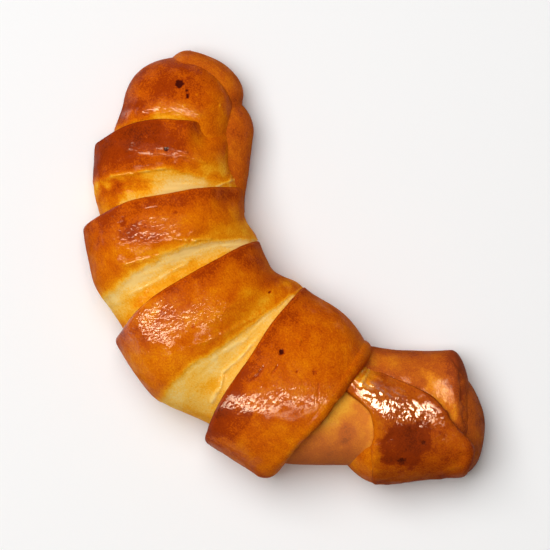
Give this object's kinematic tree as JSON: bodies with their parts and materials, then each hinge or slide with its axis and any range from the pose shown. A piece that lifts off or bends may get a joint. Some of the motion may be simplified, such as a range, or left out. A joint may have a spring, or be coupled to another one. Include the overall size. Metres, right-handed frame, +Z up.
{
  "type": "apple crescent roll",
  "caption": "Glazed yeast-dough crescent roll, wound from a strip of dough whose overlapping turns widen towards the middle, with a flat baked underside.",
  "frame": {"origin": "centre of the roll's bounding box in plan, on the plane that it rests on; the point lies on the flat underside", "axes": "+X along the chord between the two tips, towards the folded end; +Y towards the hollow side of the crescent; +Z up out of the resting plane"},
  "size_m": [0.1822, 0.0936, 0.042],
  "materials": {
    "glazed_crust": null
  },
  "bodies": {
    "root": {"crescent_roll": "glazed_crust"}
  },
  "joints": []
}
